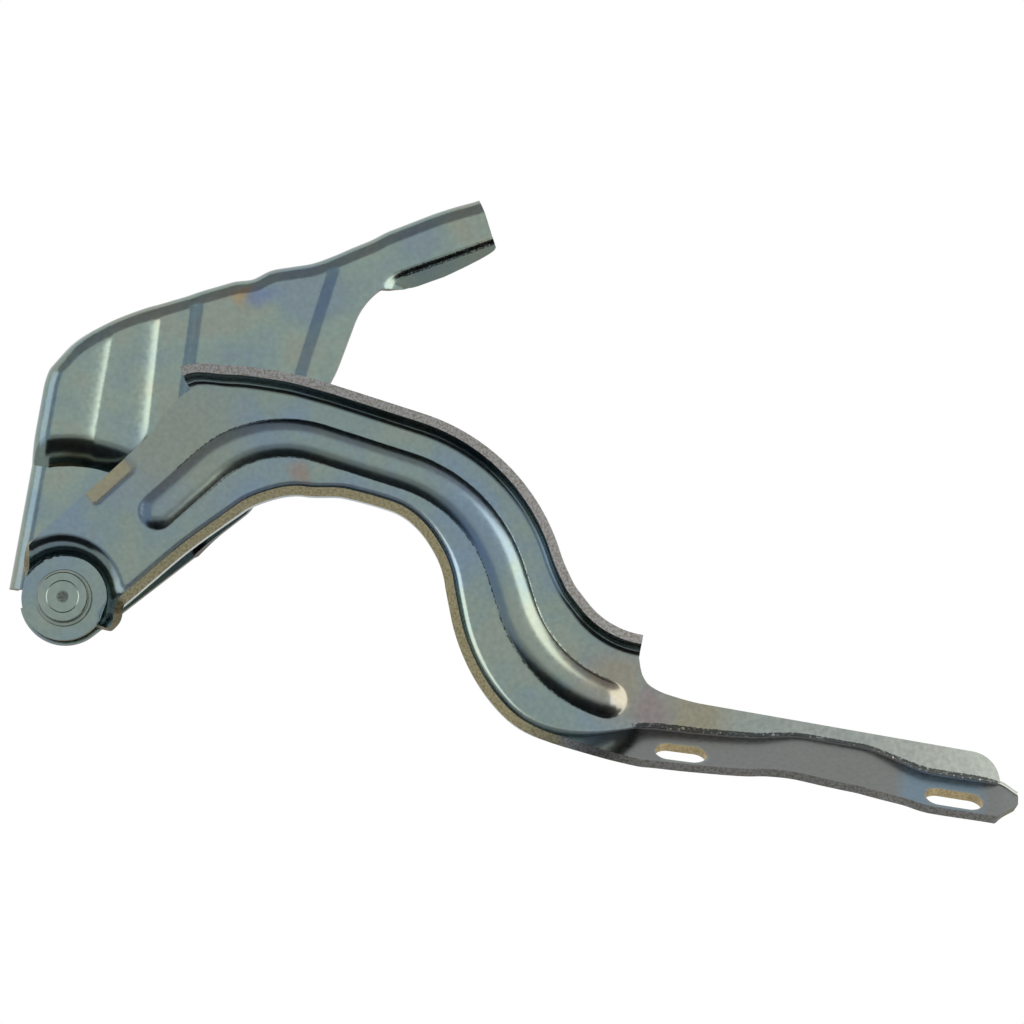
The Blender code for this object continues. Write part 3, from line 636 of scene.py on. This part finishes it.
def arm_top(s):
    """The plate's upper edge, or the foot of the upper flange's bend."""
    knots = [(END_CENTRE, END_TOP), (0.024, 0.0203), (0.056, 0.0208), (UPPER_FLANGE_START, 0.0245),
             (CREST + 0.016, 0.0190), (CREST + 0.027, 0.0140), (BACK - 0.002, 0.0120),
             (DROP_END, 0.0120), (FOOT_BEND + 0.012, 0.0148), (UPPER_FLANGE_END, 0.0160),
             (FOOT + 0.0018, 0.0115), (FOOT + 0.0054, 0.0075), (FOOT + 0.0116, 0.0056),
             (FOOT + 0.0238, FOOT_WEB_TOP), (TIP, FOOT_WEB_TOP)]
    into = s - TIP + TIP_NOSE + TIP_RADIUS
    if into > 0:
        rounded = sqrt(TIP_RADIUS ** 2 - min(into, TIP_RADIUS) ** 2)
        return max(FOOT_WEB_TOP - TIP_RADIUS + rounded, TIP_PLATE + arm_fold(s))
    return follow(knots, s)


def arm_fold(s):
    """Where the lower lip, and farther out the bolting flange, leaves the plate."""
    flat_blank = BEND_RADIUS * pi / 2 + LIP_LENGTH
    knots = [(END_CENTRE, flat_blank - END_RADIUS), (0.014, -0.0108), (0.036, -0.0112),
             (CREST + 0.016, -0.0148), (BACK, -0.0130), (BACK + 0.014, -0.0094), (DROP - 0.003, -0.0088),
             (DROP + 0.030, -0.0126), (FOOT_BEND + 0.004, -0.0164), (FOOT - 0.028, -0.0176),
             (FOOT + 0.006, -FOOT_FOLD - 0.0012), (FOOT + 0.022, -FOOT_FOLD),
             (FOOT + 0.040, 0.0017 - FOOT_FOLD),
             (FOOT + 0.059, FOOT_JOGGLE - FOOT_FOLD), (FOOT + 0.076, FOOT_JOGGLE - FOOT_FOLD),
             (FOOT + 0.102, -FAR_FOLD), (TIP - 0.0074, 0.0004 - FAR_FOLD), (TIP, -FAR_FOLD - TIP_DROP)]
    return follow(knots, s)


def arm_lip(s):
    """The radius and angle of the lower edge's bend, and the length of the flat beyond it."""
    opening = ease((s - FOOT - MOUNT_FLANGE_BLEND_START) / MOUNT_FLANGE_BLEND)
    radius = BEND_RADIUS + (MOUNT_BEND_RADIUS - BEND_RADIUS) * opening
    angle = pi / 2 + (MOUNT_FLANGE_BEND - pi / 2) * opening
    angle *= ease((s - END_CENTRE + 0.001) / 0.010)
    straight = LIP_LENGTH + (MOUNT_FLANGE_LENGTH - LIP_LENGTH) * opening
    straight += follow([(0.046, 0.0), (0.060, 0.0026), (0.079, 0.0038), (0.094, 0.0)], s - FOOT)
    chamfer = clamp((s - TIP + TIP_CHAMFER) / TIP_CHAMFER)
    return radius, angle, straight - TIP_CHAMFER_DEPTH * chamfer


def end_shares(s):
    """The shares of the full section above and below the bead's line, less than 1 round the pivot."""
    if s >= END_CENTRE:
        return 1.0, 1.0
    disc = sqrt(max(0.0, DISC_RADIUS ** 2 - min(0.0, s) ** 2))
    above = disc if s < END_SLANT_START else min(END_TOP, END_TOP + (s - END_SLANT_END) * END_SLANT_RISE)
    below = disc + END_CENTRE * ease((s - END_CENTRE + END_SHOULDER) / END_SHOULDER)
    return above / END_TOP, below / END_RADIUS


def bead(s, v):
    """The bead's height above the web: a shallow arch that meets it in a line, round at both ends."""
    nose = max(0.0, BEAD_START + BEAD_HALF_WIDTH - s, s - BEAD_END + BEAD_HALF_WIDTH)
    return BEAD_HEIGHT * max(0.0, 1 - (nose ** 2 + v ** 2) / BEAD_HALF_WIDTH ** 2)


def arm_height(s, v):
    """The height of the arm's plate at a place along its bead and beside it."""
    point, heading = BEAD_LINE.at(s)
    point = point + v * Vector((-sin(heading), cos(heading)))
    climb = clamp((point.length - BOSS_RADIUS) / BOSS_RAMP)
    inner, outer = climb ** 2 / BOSS_FILLET, 1 - (1 - climb) ** 2 / (1 - BOSS_FILLET)
    dish = BOSS_DEPTH * (1 - (inner if climb < BOSS_FILLET else outer))
    coin_run = ease((s - COIN_START) / COIN_RAMP) * ease((COIN_START + COIN_LENGTH - s) / COIN_RAMP)
    coin = COIN_DEPTH * coin_run * ease((v - arm_top(s) + COIN_WIDTH) / COIN_RAMP)
    return WEB_MIDDLE + bead(s, v) - dish - coin


def arm_section(s):
    """Points (v, height) across the arm, from the upper flange's free edge to the lower edge."""
    top, fold = arm_top(s), arm_fold(s)
    radius, angle, straight = arm_lip(s)
    above, below = end_shares(s)
    calm = ease((s - BEAD_END + 0.004) / 0.020)
    middle = (top + fold) / 2 * calm
    half = BEAD_HALF_WIDTH * (1 - calm) + (top - fold) * 0.3 * calm
    across = [top + (middle + half - top) * k / (4 * ARM_FINE) for k in range(4 * ARM_FINE)]
    across += [middle + half - 2 * half * k / (6 * ARM_FINE) for k in range(6 * ARM_FINE)]
    across += [middle - half + (fold - middle + half) * k / (2 * ARM_FINE) for k in range(2 * ARM_FINE + 1)]
    section = []
    for out, up in reversed(press_bend(BEND_RADIUS, pi / 2, UPPER_FLANGE_HEIGHT, 3 * ARM_FINE, ARM_FINE)):
        section.append((top + out, arm_height(s, top) + up))
    for v in across:
        v *= above if v > 0 else below
        section.append((v, arm_height(s, v)))
    for out, up in press_bend(radius, angle, straight, 3 * ARM_FINE, 2 * ARM_FINE):
        v = (fold - out) * below
        section.append((v, arm_height(s, v) + up))
    return section


def beside_bead(s, v, height):
    """The 3D point at a place along the bead, beside it, and at a height towards the viewer."""
    point, heading = BEAD_LINE.at(s)
    point = point + v * Vector((-sin(heading), cos(heading)))
    return Vector((point.x, -height, point.y))


round_end = 6 * ARM_FINE
arm_places = [-DISC_RADIUS * cos(pi / 2 * (k + 0.35) / (round_end + 0.35)) for k in range(round_end)]
for start, end, spacing in [
        (0.0, END_CENTRE, 0.0015), (END_CENTRE, 0.024, 0.0016), (0.024, BEAD_START + 0.006, 0.0032),
        (BEAD_START + 0.006, UPPER_FLANGE_START, 0.0050), (UPPER_FLANGE_START, BACK, 0.0048),
        (BACK, DROP, 0.0060), (DROP, DROP_END, 0.0050), (DROP_END, FOOT - 0.030, 0.0055),
        (FOOT - 0.030, UPPER_FLANGE_END, 0.0045), (UPPER_FLANGE_END, FOOT + 0.014, 0.0030),
        (FOOT + 0.014, TIP - TIP_NOSE - TIP_RADIUS, 0.0062), (TIP - TIP_NOSE - TIP_RADIUS, TIP, 0.0019)]:
    arm_places += spread(start, end, spacing / ARM_FINE)
arm_places.append(TIP - 0.0002)


def on_arm(i, j):
    """The upper flange runs only along the gooseneck; the rest of the section is there throughout."""
    on_neck = arm_places[i] >= UPPER_FLANGE_START - 1e-6 and arm_places[i + 1] <= UPPER_FLANGE_END + 1e-6
    return on_neck or j >= FLANGE_POINTS


arm_flat = [arm_section(s) for s in arm_places]
arm_sections = [[beside_bead(s, v, height) for v, height in flat] for s, flat in zip(arm_places, arm_flat)]
BEAD_SIDES = (FLANGE_POINTS + 4 * ARM_FINE, FLANGE_POINTS + 10 * ARM_FINE)
FOLD_POINT = FLANGE_POINTS + 12 * ARM_FINE


def arm_crease(i, j):
    """How strongly shade is painted, as a dark dotted line, along both sides of the bead and along the foot's
    fold.
    """
    s = arm_places[i]
    along_bead = ease((s - BEAD_START - 0.004) / 0.02) * ease((BEAD_END - 0.002 - s) / 0.004)
    along_fold = ease((s - FOOT + 0.003) / 0.008) * ease((TIP - 0.004 - s) / 0.004)
    if j in BEAD_SIDES:
        return 0.86 * along_bead
    return along_fold * clamp(2.6 - abs(j - FOLD_POINT) / 2)


def coined(i, j):
    """The stop on the neck's upper edge is coined flat."""
    s, v = arm_places[i], arm_flat[i][j][0]
    run = ease((s - COIN_START) / 0.001) * ease((COIN_START + COIN_LENGTH - s) / 0.001)
    return 0.9 * run * ease((v - arm_top(s) + COIN_WIDTH) / 0.001) if j >= FLANGE_POINTS else 0.0


def splay(i, j):
    """The bolting flange is drawn hard, which leaves its plating greyer than the web's."""
    greyed = ease((arm_places[i] - FOOT - GREY_START) / GREY_RAMP)
    return 0.9 * greyed if j > FOLD_POINT + ARM_FINE else 0.0


def blue_splay(i, j):
    """The bath ran off the far slot last and left a blue film round it."""
    s = arm_places[i] - FOOT
    blued = ease((s - BLUE_START) / 0.006) * ease((BLUE_END - s) / 0.008)
    return 0.6 * blued if j > FOLD_POINT + ARM_FINE else 0.0


arm_marks = [("crease", arm_crease), ("coined", coined), ("splay", splay), ("blue_splay", blue_splay)]
arm = pressing("bonnet_arm_pressing", arm_sections, [arm_zinc, arm_edge], arm_marks, on_arm)
bush_hole = hole_frame(Vector((0, -BOSS_BACK - SHEET / 2, 0)), across_x, across_y)
arm_tools = [punch(arm, "punch_bush_hole", bush_hole,
                   2 * (BUSH_RADIUS + GAP), 2 * (BUSH_RADIUS + GAP), PIVOT_PUNCH)]
for name, s, length in (("punch_near_slot", FOOT + NEAR_SLOT_FROM_FOOT, NEAR_SLOT_LENGTH),
                        ("punch_far_slot", FOOT + NEAR_SLOT_FROM_FOOT + SLOT_PITCH, FAR_SLOT_LENGTH)):
    radius, angle, straight = arm_lip(s)
    out, up = press_bend(radius, angle, straight - SLOT_FROM_EDGE, 1, 1)[-1]
    heading = BEAD_LINE.at(s)[1]
    along = Vector((cos(heading), 0, sin(heading)))
    side = Vector((-sin(heading), 0, cos(heading)))
    down = -cos(angle) * side + sin(angle) * Vector((0, -1, 0))
    slot_frame = hole_frame(beside_bead(s, arm_fold(s) - out, WEB_MIDDLE + up), along, along.cross(down))
    arm_tools.append(punch(arm, name, slot_frame, length, SLOT_WIDTH, SLOT_PUNCH))
finish_pressing(arm, arm_tools)
stand_in(arm, "arm", "bonnet_arm")

# The pivot is a stepped rivet through a flanged bronze bush in the arm's boss. A bronze washer keeps the
# two stampings apart, and a steel washer backs the formed tail. All are turned, so each is a profile
# spun about the pivot's axis; the head keeps the rings of the tool that formed it.
BUSH_FLANGE_RADIUS = 0.0094
BUSH_FLANGE = 0.0010
THRUST_WASHER_RADIUS = 0.0125
REAR_WASHER_RADIUS = 0.0095
REAR_WASHER = 0.0012
RIVET_HEAD_RADIUS = 0.0083
RIVET_HEAD_HEIGHT = 0.0024
RIVET_TAIL_RADIUS = 0.0072
RIVET_TAIL_HEIGHT = 0.0028
HEAD_RING_RADIUS = 0.0053
CENTRE_MARK_RADIUS = 0.0020
RING_DEPTH = 0.00010


def turned_metal(name, colour, roughness, ring_pitch, pit_shade_radius=0.0):
    """Metal cut on a lathe: fine rings about the pivot's axis that stretch a highlight across them.

    Within the given radius of the axis, a dark dotted spot is painted as the shade in the centre mark's pit.
    """
    made = bpy.data.materials.new(name)
    made.use_nodes = True
    shader = made.node_tree.nodes["Principled BSDF"]
    shader.inputs["Metallic"].default_value = 1.0
    shader.inputs["Roughness"].default_value = roughness
    place = add(made, "ShaderNodeTexCoord").outputs["Object"]
    # The rings of a real tool lie closer than these and are drawn coarse to show
    rings = add(made, "ShaderNodeTexWave", [("wave_type", "RINGS"), ("rings_direction", "Z"),
                                            ("Scale", 0.3142 / ring_pitch), ("Distortion", 0.4)],
                [("Vector", place)])
    film = add(made, "ShaderNodeTexNoise", [("Scale", 1 / 0.004), ("Detail", 3.0)], [("Vector", place)])
    tone = add(made, "ShaderNodeValToRGB", [("stops", [(0.30, colour[0]), (0.70, colour[1])])],
               [("Fac", film.outputs["Fac"])])
    axis = add(made, "ShaderNodeMapping", [("Scale", (1.0, 1.0, 0.0))], [("Vector", place)])
    away = add(made, "ShaderNodeVectorMath", [("operation", "LENGTH")], [(0, axis.outputs["Vector"])])
    pit_shade = add(made, "ShaderNodeMapRange",
               [("From Min", pit_shade_radius), ("From Max", pit_shade_radius - 0.0006), ("To Max", 1.3)],
               [("Value", away.outputs["Value"])])
    pits_and_pit_shade = add(made, "ShaderNodeTexNoise", [("Scale", 1 / 0.0006), ("Detail", 2.0)], [("Vector", place)])
    painted_pit_shade = add(made, "ShaderNodeMath", [("operation", "MULTIPLY")],
                 [(0, pit_shade.outputs["Result"]), (1, pits_and_pit_shade.outputs["Fac"])])
    mixed = add(made, "ShaderNodeMix", [("data_type", "RGBA"), (7, linear("#2E2A2C"))],
                [(0, painted_pit_shade.outputs[0]), (6, tone.outputs["Color"])])
    made.node_tree.links.new(mixed.outputs[2], shader.inputs["Base Color"])
    cut = add(made, "ShaderNodeBump", [("Strength", 0.3), ("Distance", 0.000006)],
              [("Height", rings.outputs["Fac"])])
    made.node_tree.links.new(cut.outputs["Normal"], shader.inputs["Normal"])
    return made


def spun(name, profile, finish, body, node, segments=96):
    """A piece turned about the pivot's axis from (radius, height) points, closed when it is a ring."""
    bm = bmesh.new()
    ring = [bm.verts.new((radius, 0, height)) for radius, height in profile]
    for a, b in zip(ring, ring[1:]):
        bm.edges.new((a, b))
    if profile[0][0] > 0 and profile[-1][0] > 0:
        bm.edges.new((ring[-1], ring[0]))
    bmesh.ops.spin(bm, geom=bm.verts[:] + bm.edges[:], cent=(0, 0, 0), axis=(0, 0, 1), angle=2 * pi,
                   steps=segments, use_merge=True)
    bmesh.ops.remove_doubles(bm, verts=bm.verts, dist=0.000005)
    bmesh.ops.recalc_face_normals(bm, faces=bm.faces)
    mesh = bpy.data.meshes.new(name)
    bm.to_mesh(mesh)
    bm.free()
    mesh.materials.append(finish)
    mesh.shade_smooth()
    mesh.set_sharp_from_angle(angle=radians(20))
    piece = bpy.data.objects.new(name, mesh)
    piece.rotation_euler = (radians(90), 0, 0)
    piece.location = pivot
    bpy.context.scene.collection.objects.link(piece)
    stand_in(piece, body, node)


bearing_bronze = turned_metal("sintered_bearing_bronze", ("#8A6E48", "#A88A5C"), 0.42, 0.0003)
tinned_bronze = turned_metal("tin_flashed_bearing_bronze", ("#78847E", "#848E86"), 0.26, 0.0004)
washer_zinc = turned_metal("zinc_plated_stamped_washer", ("#7C868A", "#92989A"), 0.34, 0.0006)
# The rivet's centre mark gets a painted shade within 2.1 mm of the axis.
rivet_zinc = turned_metal("zinc_plated_cold_headed_rivet", ("#7C8A86", "#88968E"), 0.24, 0.0007, 0.0021)
boss_front = BOSS_BACK + SHEET
flange_back = boss_front + GAP
flange_front = flange_back + BUSH_FLANGE
head_back = flange_front + GAP
head_front = head_back + RIVET_HEAD_HEIGHT
tail_front = -SHEET - 2 * GAP - REAR_WASHER
tail_back = tail_front - RIVET_TAIL_HEIGHT
bush_inner = RIVET_SHANK_RADIUS + GAP
spun("thrust_washer_turned", [
    (bush_inner, GAP + THRUST_WASHER), (THRUST_WASHER_RADIUS - 0.0002, GAP + THRUST_WASHER),
    (THRUST_WASHER_RADIUS, GAP + THRUST_WASHER - 0.0002), (THRUST_WASHER_RADIUS, GAP), (bush_inner, GAP)],
    bearing_bronze, "bracket", "thrust_washer")
spun("bearing_bush_turned", [
    (bush_inner, flange_front), (BUSH_FLANGE_RADIUS - 0.0002, flange_front),
    (BUSH_FLANGE_RADIUS, flange_front - 0.0002), (BUSH_FLANGE_RADIUS, flange_back),
    (BUSH_RADIUS, flange_back), (BUSH_RADIUS, BOSS_BACK), (bush_inner, BOSS_BACK)],
    tinned_bronze, "arm", "bearing_bush")
spun("rivet_washer_stamped", [
    (RIVET_NECK_RADIUS + GAP, -SHEET - GAP), (REAR_WASHER_RADIUS, -SHEET - GAP),
    (REAR_WASHER_RADIUS, -SHEET - GAP - REAR_WASHER + 0.0002),
    (REAR_WASHER_RADIUS - 0.0002, -SHEET - GAP - REAR_WASHER),
    (RIVET_NECK_RADIUS + GAP, -SHEET - GAP - REAR_WASHER)],
    washer_zinc, "bracket", "rivet_washer")
spun("pivot_rivet_headed", [
    (0.0, head_front - RING_DEPTH), (CENTRE_MARK_RADIUS - 0.0001, head_front - RING_DEPTH),
    (CENTRE_MARK_RADIUS, head_front), (HEAD_RING_RADIUS - 0.0002, head_front),
    (HEAD_RING_RADIUS, head_front - RING_DEPTH), (HEAD_RING_RADIUS + 0.0002, head_front),
    (RIVET_HEAD_RADIUS - 0.0004, head_front), (RIVET_HEAD_RADIUS - 0.0001, head_front - 0.0003),
    (RIVET_HEAD_RADIUS, head_front - 0.0008),
    (RIVET_HEAD_RADIUS, head_back),
    (RIVET_SHANK_RADIUS, head_back), (RIVET_SHANK_RADIUS, GAP), (RIVET_NECK_RADIUS, GAP),
    (RIVET_NECK_RADIUS, tail_front), (RIVET_TAIL_RADIUS, tail_front),
    (RIVET_TAIL_RADIUS - 0.0005, tail_front - 0.0014), (RIVET_TAIL_RADIUS - 0.0022, tail_back),
    (0.0, tail_back)],
    rivet_zinc, "bracket", "pivot_rivet")

# The studio: a pale floor, a white surround that metal sees too, a warm softbox at the right, a cool one
# at the left and an even one overhead. Three cards that only reflections see shade the bright metal, all
# on the viewer's side: black below, blue-white at the left and pale grey overhead.
middle = (cad_box[0] + cad_box[1]) / 2
FLOOR_DROP = 0.45


def card(name, centre, facing, width, height, colour, reflected_only=False):
    """A flat card that faces the hinge; one that is reflected only doesn't show or shade by itself."""
    mesh = bpy.data.meshes.new(name)
    bm = bmesh.new()
    bmesh.ops.create_grid(bm, x_segments=1, y_segments=1, size=0.5)
    bm.to_mesh(mesh)
    bm.free()
    paint = bpy.data.materials.new(name + "_paint")
    paint.use_nodes = True
    paint.node_tree.nodes["Principled BSDF"].inputs["Base Color"].default_value = linear(colour)
    paint.node_tree.nodes["Principled BSDF"].inputs["Roughness"].default_value = 0.9
    mesh.materials.append(paint)
    made = bpy.data.objects.new(name, mesh)
    made.scale = (width, height, 1.0)
    made.location = centre
    made.rotation_mode = "QUATERNION"
    made.rotation_quaternion = (Vector(facing) - Vector(centre)).to_track_quat("Z", "Y")
    bpy.context.scene.collection.objects.link(made)
    if reflected_only:
        for seen_by in ("visible_camera", "visible_diffuse", "visible_shadow", "visible_transmission"):
            setattr(made, seen_by, False)


def softbox(name, offset, size, radiance, colour):
    """An area lamp aimed at the hinge whose face has the given radiance."""
    lamp = bpy.data.lights.new(name, "AREA")
    lamp.shape = "RECTANGLE"
    lamp.size, lamp.size_y = size
    lamp.energy = radiance * pi * size[0] * size[1]
    lamp.color = linear(colour)[:3]
    made = bpy.data.objects.new(name, lamp)
    made.location = middle + Vector(offset)
    made.rotation_mode = "QUATERNION"
    made.rotation_quaternion = (-Vector(offset)).to_track_quat("-Z", "Y")
    bpy.context.scene.collection.objects.link(made)


floor_place = middle - Vector((0, 0, FLOOR_DROP))
card("studio_floor", floor_place, middle, 6.0, 6.0, "#E8E8E6")
card("black_card", middle + Vector((-0.05, -0.28, -0.40)), middle, 0.9, 0.7, "#050505", True)
card("blue_card", middle + Vector((-0.62, -0.80, 0.0)), middle, 0.40, 1.2, "#D0E0FF", True)
card("dim_card", middle + Vector((0.0, -0.38, 0.74)), middle, 1.8, 1.1, "#C6C2CA", True)
softbox("right_softbox", (0.60, -0.84, -0.05), (0.8, 1.1), 2.4, "#FFF4E6")
softbox("left_softbox", (-0.95, -0.35, 0.10), (0.6, 0.9), 0.80, "#C4D2FF")
softbox("top_softbox", (0.0, -0.30, 0.95), (0.9, 0.5), 0.6, "#FFFFFF")

world = bpy.data.worlds.new("white_surround")
bpy.context.scene.world = world
world.use_nodes = True
lit = world.node_tree.nodes["Background"]
lit.inputs["Color"].default_value = linear("#FFFFFF")
lit.inputs["Strength"].default_value = 0.6
seen = add(world, "ShaderNodeBackground", [("Color", linear("#FFFFFF")), ("Strength", 1.0)])
ray = add(world, "ShaderNodeLightPath")
shiny = add(world, "ShaderNodeMath", [("operation", "MAXIMUM")],
            [(0, ray.outputs["Is Glossy Ray"]), (1, ray.outputs["Is Transmission Ray"])])
shown = add(world, "ShaderNodeMath", [("operation", "MAXIMUM")],
            [(0, ray.outputs["Is Camera Ray"]), (1, shiny.outputs[0])])
both = add(world, "ShaderNodeMixShader", (),
           [(0, shown.outputs[0]), (1, lit.outputs[0]), (2, seen.outputs[0])])
world.node_tree.links.new(both.outputs[0], world.node_tree.nodes["World Output"].inputs["Surface"])
bpy.context.scene.view_settings.view_transform = "Standard"

# The camera stands 1.6 m away and looks up at the hinge from 8 degrees below, as in the photograph. Its
# long lens takes in 338 mm there, so the far stamping looks hardly smaller than the near one.
CAMERA_DISTANCE = 1.6
CAMERA_BELOW = radians(8.0)
METRES_ACROSS = 0.3379
lens = bpy.data.cameras.new("camera")
lens.sensor_width = 36.0
lens.lens = 36.0 * CAMERA_DISTANCE / METRES_ACROSS
camera = bpy.data.objects.new("camera", lens)
aim = pivot + Vector((0.148, -0.0099, 0.028))
camera.location = aim + CAMERA_DISTANCE * Vector((0, -cos(CAMERA_BELOW), -sin(CAMERA_BELOW)))
camera.rotation_euler = (radians(90) + CAMERA_BELOW, 0, 0)
bpy.context.scene.collection.objects.link(camera)
bpy.context.scene.camera = camera
